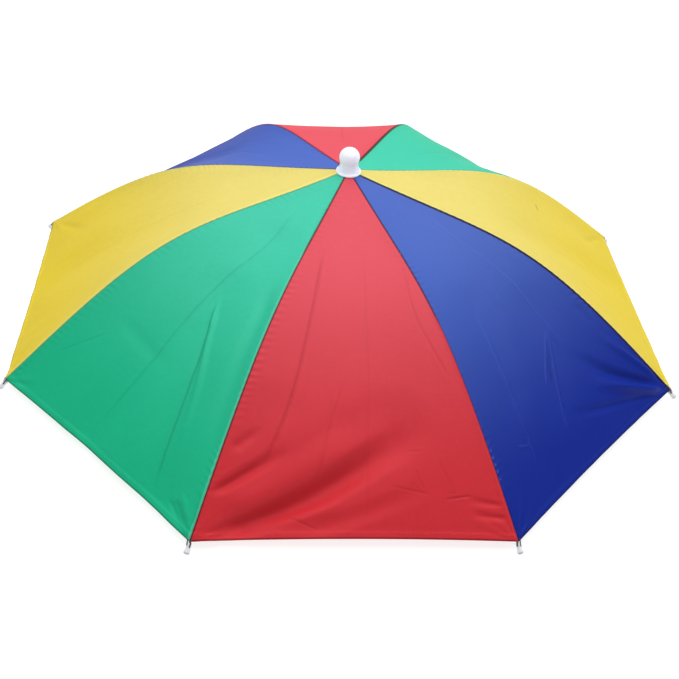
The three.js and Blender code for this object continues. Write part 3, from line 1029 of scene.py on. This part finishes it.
def gore_grid(index):
    """Shares along and across for every point of a gore, closer together at its edges."""
    low = 1 - HEM_STEPS / SEAM_LENGTH
    rows = np.concatenate([np.linspace(0, low[-1], LONG_CELLS + 1)[:-1], low[::-1]])
    chord = np.linalg.norm(on_seam(index + 1, rows) - on_seam(index, rows), axis=-1)
    squeeze = np.minimum(1, chord / (3 * EDGE_STEPS[-1]))
    side = EDGE_STEPS[None, :] * (squeeze / chord)[:, None]
    inner = np.linspace(0, 1, MIDDLE_CELLS + 1)[1:-1]
    middle = side[:, -1:] + (1 - 2 * side[:, -1:]) * inner
    across = np.concatenate([side, middle, 1 - side[:, ::-1]], axis=1)
    inset = (SEAM_HALF_GAP / chord)[:, None]
    across = inset + (1 - 2 * inset) * across
    return np.repeat(rows[:, None], across.shape[1], axis=1), across, chord[:, None]


def unit_normals(points):
    """Outward normals of a grid of points, rows down the gore and columns across it."""
    return unit(np.cross(np.gradient(points, axis=0), np.gradient(points, axis=1)))


def make_gore(index):
    """A gore with its hem and seams, and the grids of its outer face and of the distance from
    the hem."""
    gore = GORES[index]
    along, across, chord = gore_grid(index)
    smooth = gore_face(index, along, across)
    hem = (1 - along) * SEAM_LENGTH
    edges = np.stack([across * chord, (1 - across) * chord]) * cos(HALF_GORE * 0.9)
    relief = cloth_relief(index, along, across, edges, hem)
    outer = smooth + unit_normals(smooth) * relief[..., None]
    hem_layers = 1 - eased((hem - HEM_FOLD_WIDTH + 0.4) / 0.8)
    wall = CLOTH_THICKNESS + HEM_LAYER * hem_layers
    points, faces = shell(outer, outer - unit_normals(outer) * wall[..., None])
    piece = piece_from(f"cloth_{gore.name}", points, faces, cloth_finishes[gore.cloth])

    # The ridge number paints a highlight on the seam allowance, and the line number paints shade
    # in the seam's groove.
    ridge = sum(seam_ridge(gore, side, along, edges[side]) for side in (0, 1))
    line = sum(painted_seam_shade(gore, side, along, edges[side]) for side in (0, 1))
    # The puckers that the stitches nip up get the painted highlight too.
    for side, edge in enumerate(edges):
        nipped = np.maximum(puckers(index, side, along * SEAM_LENGTH) - 0.35, 0)
        near = (1 - eased((edge - 2.2) / 1.2)) * eased((along - 0.4) / 0.1)
        ridge += gore.nips[side] * nipped * near
    # The depth of the pressed lines also sets their painted shade in the finish.
    nearest, depth = nearest_pressed_line(gore, along, across)
    sides = (("hem", hem, hem), ("ridge", ridge, 0 * ridge), ("line", line, 0 * line),
             ("pressed", nearest, nearest), ("press", depth, -depth))
    for title, face, underside in sides:
        add_numbers(piece, title, [face, underside])
    flat = on_cloth(along, across).reshape(-1, 2)
    add_map(piece, np.concatenate([flat, flat]))
    return piece, outer, hem


def hem_stitch_line(outer, hem):
    """The line on the cloth on which its hem is sewn, from near one seam to the next."""
    row = np.abs(hem[:, 0] - HEM_STITCH_DEPTH).argmin()
    return outer[row, 6:-6] + unit_normals(outer)[row, 6:-6] * 0.06


def make_seam_fold(index):
    """The sewn allowance of a seam, folded flat under the cloth along its rib."""
    along = np.linspace(SEAM_FOLD_START / SEAM_LENGTH, 1 - SEAM_FOLD_END / SEAM_LENGTH, 120)
    wander = 0.25 * uneven(along * SEAM_LENGTH, 50, 20, 200 + index)
    side = turned_to(index, SIDEWAYS)
    run = rib_heading(index, along)
    up = turned_to(index, np.stack([-run[:, 2], 0 * along, run[:, 0]], -1))
    centre = on_seam(index, along, SEAM_FOLD_DROP) + side * wander[:, None]
    points = np.stack([centre + side * (x * SEAM_FOLD_WIDTH / 2) + up * (y * SEAM_FOLD_WALL / 2)
                       for x, y in ((-1, 1), (-1, -1), (1, -1), (1, 1))], 1)
    last = 4 * len(along) - 4
    faces = [(i + j, i + k, i + 4 + k, i + 4 + j) for i in range(0, last, 4)
             for j, k in ((0, 1), (1, 2), (2, 3), (3, 0))]
    faces += [(3, 2, 1, 0), (last, last + 1, last + 2, last + 3)]
    cloth = GORES[index].cloth
    piece = piece_from(f"seam_fold_{RIBS[index].name}", points.reshape(-1, 3), faces,
                       cloth_finishes[cloth])
    reach = np.repeat(along * SEAM_LENGTH, 4)
    for title, value in (("hem", 50), ("ridge", 0), ("line", 0), ("pressed", FAR_FROM_LINES),
                         ("press", 0)):
        add_numbers(piece, title, reach * 0 + value)
    edge = SEAM_FOLD_WIDTH / 2
    add_map(piece, np.stack([np.tile([-edge, -edge, edge, edge], len(along)), reach], -1))
    return sharpen(settle(piece, f"{cloth}_cloth"), 40)


rib_names = [rib.name for rib in RIBS]
widest = float(gore_width(1.0))
strips = (np.arange(400) + 0.5) / 400
flat_area = float(gore_width(strips).mean() * SEAM_LENGTH)

for index, gore in enumerate(GORES):
    piece, outer, hem = make_gore(index)
    settle(piece, f"{gore.cloth}_cloth", f"gore_{gore.name}")
    seam = stitches.make(f"hem_stitches_{gore.name}", [hem_stitch_line(outer, hem)],
                         cloth_threads[gore.cloth], spacing=0.0029, thickness=0.00032,
                         seed=3 + index)
    settle(seam, f"{gore.cloth}_cloth")
    f"wire_{rib_names[(index + 1) % 8]}"
    make_seam_fold(index)


# Ribs, caps and threads


def make_cap(index):
    """A cap with the end of its rib in it, flared to a rounded end that stands on its edge, with
    painted shade at that end and round its neck."""
    neck = [(CAP_NECK_RADIUS - 0.35, 0), (CAP_NECK_RADIUS - 0.1, 0.1), (CAP_NECK_RADIUS, 0.35)]
    start = CAP_NECK_LENGTH * 0.55
    flare = [(CAP_NECK_RADIUS + (CAP_END_RADIUS - CAP_NECK_RADIUS) * float(eased(t)),
              start + (CAP_LENGTH - CAP_ROUNDING - start) * t) for t in np.linspace(0, 1, 9)]
    end = arc((CAP_END_RADIUS - CAP_ROUNDING, CAP_LENGTH - CAP_ROUNDING), CAP_ROUNDING, 0, 90, 7)
    bore = [(0, CAP_BORE_DEPTH), (CAP_BORE_RADIUS, CAP_BORE_DEPTH), (CAP_BORE_RADIUS, 0)]
    points, faces = turned_mesh(bore + neck + flare + end[1:] + [(0, CAP_LENGTH)], 32)
    seat, under, side, down = rib_axes(index, 1 + CAP_START / SEAM_LENGTH)
    placed = turned_to(index, seat + points @ np.stack([under, side, down]))
    placed[:, 2] = np.maximum(placed[:, 2], -STAND_HEIGHT)
    # Painted shade: darker at the rounded end and in a ring round the neck, where the threads wrap
    # it.
    worn = eased((points[:, 2] - CAP_LENGTH + 2.2) / 1.6)
    worn = np.maximum(worn, 0.5 * (1 - eased(np.abs(points[:, 2] - 2.6) / 0.9)))
    cap = piece_from(f"cap_{RIBS[index].name}", placed, faces, cap_plastic)
    add_numbers(cap, "worn", worn)
    return sharpen(cap, 50)


def make_threads(index):
    """The threads that hold the corner of the cloth to the cap."""
    paths = []
    for offset in THREAD_OFFSETS:
        along = 1 + np.array([-2.2, -0.8, 0.6, 2.2, 3.8 + 0.4 * offset]) / SEAM_LENGTH
        low = RIB_DROP - sqrt(CAP_NECK_RADIUS ** 2 - offset ** 2) - 0.15
        drops = np.array([0.6, -0.05, 0.3 * low, 0.8 * low, low])
        line = np.stack([below_seam(index, a, d) for a, d in zip(along, drops)])
        line[:, 1] = offset
        paths.append(turned_to(index, smooth_path(line, 6)))
    return wires.make(f"corner_threads_{RIBS[index].name}", paths, dark_thread,
                      radius=THREAD_RADIUS * MM, sides=8)


wire_end = 1 + (CAP_START + CAP_BORE_DEPTH - CLEARANCE) / SEAM_LENGTH
for index, name in enumerate(rib_names):
    rod = on_seam(index, np.linspace(0, wire_end, 90), RIB_DROP)
    settle(wires.make(f"wire_{name}", [rod], steel), "rib_steel", f"rib_{name}")
    settle(make_cap(index), "white_plastic", f"tip_cap_{name}")
    settle(make_threads(index), "rib_steel")
    half = TIE_LENGTH / 2 / SEAM_LENGTH
    ties = [on_seam(index, place + np.array([-half, half]), RIB_DROP - 0.35)
            for place in TIE_PLACES]
    settle(rings.make(f"rib_ties_{name}", ties, white_thread), "rib_steel")


# Struts


def make_strut(index):
    """A saddle under the rib, a wire with bent ends, and a paddle sewn to the headband."""
    seat, under, side, down = rib_axes(index, STRUT_SEAT / SEAM_LENGTH)
    rise = SADDLE_DEPTH - 0.6
    outline = [(3, 0), (3, rise), (2.4, SADDLE_DEPTH), (-2.4, SADDLE_DEPTH), (-3, rise), (-3, 0)]
    points, faces = prism(outline + arc((0, 0), SADDLE_BORE, 180, 0, 12), SADDLE_LENGTH)
    placed = turned_to(index, seat + points @ np.stack([side, under, down]))
    saddle = soften(piece_from("saddle", placed, [face[::-1] for face in faces], steel))

    radius = BAND_RADIUS + BAND_WALL + CLEARANCE + PADDLE_WALL / 2
    outline = []
    for x, y, start in ((1, -1, -90), (1, 1, 0), (-1, 1, 90), (-1, -1, 180)):
        centre = (x * (PADDLE_WIDTH / 2 - PADDLE_CORNER), y * (PADDLE_HEIGHT / 2 - PADDLE_CORNER))
        outline += arc(centre, PADDLE_CORNER, start, start + 90, 5)
    points, faces = prism(outline, PADDLE_WALL)
    placed = np.stack([radius + points[:, 2], points[:, 0], BAND_MIDDLE + points[:, 1]], -1)
    paddle = soften(piece_from("paddle", turned_to(index, placed), faces, steel))

    foot = np.array([radius + STRUT_RADIUS / 2, 0, BAND_MIDDLE])
    top = below_seam(index, STRUT_SEAT / SEAM_LENGTH, RIB_DROP + SADDLE_DEPTH - STRUT_RADIUS)
    line = turned_to(index, [foot, foot + (top - foot) * 0.5, top])
    rod = wires.make("rod", [line], steel, radius=STRUT_RADIUS * MM)
    return joined(f"strut_{RIBS[index].name}_steel", [saddle, paddle, rod], steel)


def make_paddle_stitches(index):
    radius = BAND_RADIUS + BAND_WALL + CLEARANCE + 1.25
    heights = BAND_MIDDLE + PADDLE_SEWN_HEIGHT * np.linspace(-0.5, 0.5, 12)
    paths = [turned_to(index, [(radius, side * PADDLE_SEWN_WIDTH, z) for z in heights])
             for side in (-0.5, 0.5)]
    return stitches.make(f"paddle_stitches_{RIBS[index].name}", paths, white_thread,
                         spacing=0.0026, thickness=0.0005, seed=60 + index)


for index, name in enumerate(rib_names):
    settle(make_strut(index), "rib_steel", f"strut_{name}")
    settle(make_paddle_stitches(index), "black_elastic")


# Headband


def cord_heights(heights):
    """How far the cords of the webbing stand out at heights on it."""
    turns = pi * (heights - BAND_BOTTOM) / CORD_PITCH
    return CORD_HEIGHT * np.abs(np.sin(turns)) ** 0.8


def round_axis(radius, angles, heights):
    """A grid of points round the axis, a row for each angle."""
    across, deep = radius * np.cos(angles)[:, None], radius * np.sin(angles)[:, None]
    return np.stack(np.broadcast_arrays(across, deep, heights), -1)


def make_headband():
    """Elastic webbing with raised cords along it."""
    inner, outer = BAND_RADIUS, BAND_RADIUS + BAND_WALL
    heights = np.linspace(BAND_BOTTOM + 0.4, BAND_TOP - 0.4, 65)
    cords = cord_heights(heights)
    middle = (inner + outer) / 2
    radius = np.concatenate([outer - 0.25 + cords, [middle], (inner + 0.25 - cords)[::-1],
                             [middle]])
    height = np.concatenate([heights, [BAND_TOP], heights[::-1], [BAND_BOTTOM]])
    sides, count = 240, len(height)
    angles = np.arange(sides) * 2 * pi / sides
    pull = 0.12 * uneven(angles * BAND_RADIUS, 30, 14, 300)
    grid = round_axis(radius + pull[:, None], angles, height)
    number = np.arange(sides * count).reshape(sides, count)
    after, above = np.roll(number, -1, 0), np.roll(number, -1, 1)
    quads = np.stack([number, after, np.roll(after, -1, 1), above], -1).reshape(-1, 4)
    piece = piece_from("headband_webbing", grid.reshape(-1, 3), quads, webbing)
    around = np.repeat(angles * BAND_RADIUS, count)
    add_map(piece, np.stack([around, np.tile(height, sides)], -1))
    return settle(piece, "black_elastic", "headband")


def make_lap():
    """The lapped end of the webbing, outside the back of the band."""
    radius = BAND_RADIUS + BAND_WALL + 0.1
    half = degrees(LAP_LENGTH / 2 / radius)
    angles = np.radians(np.linspace(90 - half, 90 + half, 25))
    heights = np.linspace(BAND_BOTTOM + 1, BAND_TOP - 1, 47)
    ends = eased(np.minimum(angles - angles[0], angles[-1] - angles) * radius / 1.5)
    rise = 0.5 + 0.7 * ends[:, None] + cord_heights(heights)[None, :]
    points, faces = shell(round_axis(radius + rise, angles, heights),
                          round_axis(radius + 0 * rise, angles, heights))
    piece = piece_from("headband_lap", points, faces, webbing)
    flat = np.stack([np.repeat(angles * radius, len(heights)), np.tile(heights, len(angles))], -1)
    add_map(piece, np.concatenate([flat, flat]))
    return settle(sharpen(piece, 45), "black_elastic")


def make_lap_stitches():
    """A sewn box with a cross in it."""
    radius = BAND_RADIUS + BAND_WALL + 1.55
    low, high = BAND_BOTTOM + LAP_SEWN_INSET, BAND_TOP - LAP_SEWN_INSET
    end = LAP_SEWN_WIDTH / 2
    corners = [(-end, low), (end, low), (end, high), (-end, high), (-end, low), (end, high),
               (end, low), (-end, high)]
    box = []
    for (x0, z0), (x1, z1) in zip(corners, corners[1:]):
        for t in np.linspace(0, 1, 13):
            angle = pi / 2 + (x0 + (x1 - x0) * t) / radius
            box.append((radius * cos(angle), radius * sin(angle), z0 + (z1 - z0) * t))
    sewn = stitches.make("lap_stitches", [box], dark_thread, spacing=0.0024, length=0.002,
                         thickness=0.0004, seed=90)
    return settle(sewn, "black_elastic")


band, lap, sewn = make_headband(), make_lap(), make_lap_stitches()


# Hub and finial


def make_finial():
    """A flared bell with a rolled lip and a ball on top, and a stem down onto the hub."""
    seat = CANOPY_RISE + CLEARANCE
    rim = peak_height(FINIAL_RIM_RADIUS) + CLEARANCE
    neck = rim + FINIAL_NECK_HEIGHT
    start, end = (FINIAL_RIM_RADIUS - 0.35, rim + FINIAL_LIP), (FINIAL_NECK_RADIUS, neck)
    pull = (FINIAL_NECK_RADIUS, rim + 2 * FINIAL_LIP)
    flare = [tuple((1 - t) ** 2 * a + 2 * (1 - t) * t * b + t ** 2 * c
                   for a, b, c in zip(start, pull, end)) for t in np.linspace(0, 1, 20)]
    lip = arc((FINIAL_RIM_RADIUS - 0.7, rim + 0.7), 0.7, -90, 65, 8)
    dip = degrees(acos(FINIAL_NECK_RADIUS / FINIAL_BALL_RADIUS))
    centre = (0, neck + FINIAL_BALL_RADIUS * sin(radians(dip)))
    ball = arc(centre, FINIAL_BALL_RADIUS, -dip, 90, 36)
    profile = [(0, HUB_TOP + CLEARANCE), (FINIAL_STEM_RADIUS, HUB_TOP + CLEARANCE),
               (FINIAL_STEM_RADIUS, seat), (PEAK_HOLE_RADIUS, seat)]
    profile += lip + flare + ball[1:-1] + [(0, centre[1] + FINIAL_BALL_RADIUS)]
    points, faces = turned_mesh(profile, 96)
    piece = piece_from("finial_bell", points, faces, white_plastic)
    return settle(sharpen(piece, 60), "white_plastic", "finial")


make_finial()
hub = bpy.data.objects["hub"]
hub.data.materials.clear()
hub.data.materials.append(hub_plastic)


# Floor, light and camera

FLOOR_REACH = 30000
places = FLOOR_REACH * np.array([(-1, -1, 0), (1, -1, 0), (1, 1, 0), (-1, 1, 0)])
floor = piece_from("floor", places - (0, 0, STAND_HEIGHT), [(0, 1, 2, 3)], floor_finish())

world = bpy.data.worlds.new("studio")
world.use_nodes = True
world.node_tree.nodes["Background"].inputs["Color"].default_value = (1, 1, 1, 1)
world.node_tree.nodes["Background"].inputs["Strength"].default_value = 0.095
bpy.context.scene.world = world
bpy.context.scene.view_settings.view_transform = "Standard"

# Softboxes round the hat: azimuth from the back and clockwise from above, and power in watts
SOFTBOX_DISTANCE = 2.4
SOFTBOX_SIZE = 1.8
LIGHTS = table("name azimuth elevation power", [
    ("overhead", 0, 89, 26),
    ("back", 0, 60, 8),
    ("back_low", 0, 38, 9),
    ("back_left", -45, 60, 8),
    ("back_right", 45, 60, 9),
    ("left", -90, 55, 8),
    ("right", 90, 55, 14.5),
    ("front", 180, 55, 4),
    ("front_low", 180, 25, 2),
])
centre = Vector((0, 0, 0.08))
for box in LIGHTS:
    a, e = radians(box.azimuth), radians(box.elevation)
    away = Vector((sin(a) * cos(e), cos(a) * cos(e), sin(e)))
    lamp = bpy.data.lights.new(box.name, "AREA")
    lamp.size = SOFTBOX_SIZE
    lamp.energy = box.power
    linked(box.name, lamp).matrix_world = (Matrix.Translation(centre + away * SOFTBOX_DISTANCE)
                                           @ away.to_track_quat("Z", "Y").to_matrix().to_4x4())

# The camera looks from the front, a little to the left, and down onto the canopy. Its distance,
# aim and shifts are shares of the corner radius.
CAMERA = {"azimuth": -5.89, "elevation": 40.38, "roll": 4.95, "distance": 2.664, "lens": 48.11,
          "aim": 0.2, "shift_right": -0.0094, "shift_up": -0.2857}


def make_camera():
    a, e, roll = (radians(CAMERA[k]) for k in ("azimuth", "elevation", "roll"))
    back = Vector((sin(a) * cos(e), -cos(a) * cos(e), sin(e)))
    level = Vector((cos(a), sin(a), 0))
    upright = level.cross(-back)
    right = level * cos(roll) + upright * sin(roll)
    up = upright * cos(roll) - level * sin(roll)
    unit = CORNER_RADIUS * MM
    target = Vector(ORIGIN) + Vector((0, 0, CAMERA["aim"] * unit))
    target += (right * CAMERA["shift_right"] + up * CAMERA["shift_up"]) * unit
    lens = bpy.data.cameras.new("camera")
    lens.lens = CAMERA["lens"]
    lens.sensor_width = 36
    holder = linked("camera", lens)
    turn = Matrix((right, up, back)).transposed().to_4x4()
    holder.matrix_world = Matrix.Translation(target + back * CAMERA["distance"] * unit) @ turn
    bpy.context.scene.camera = holder


make_camera()
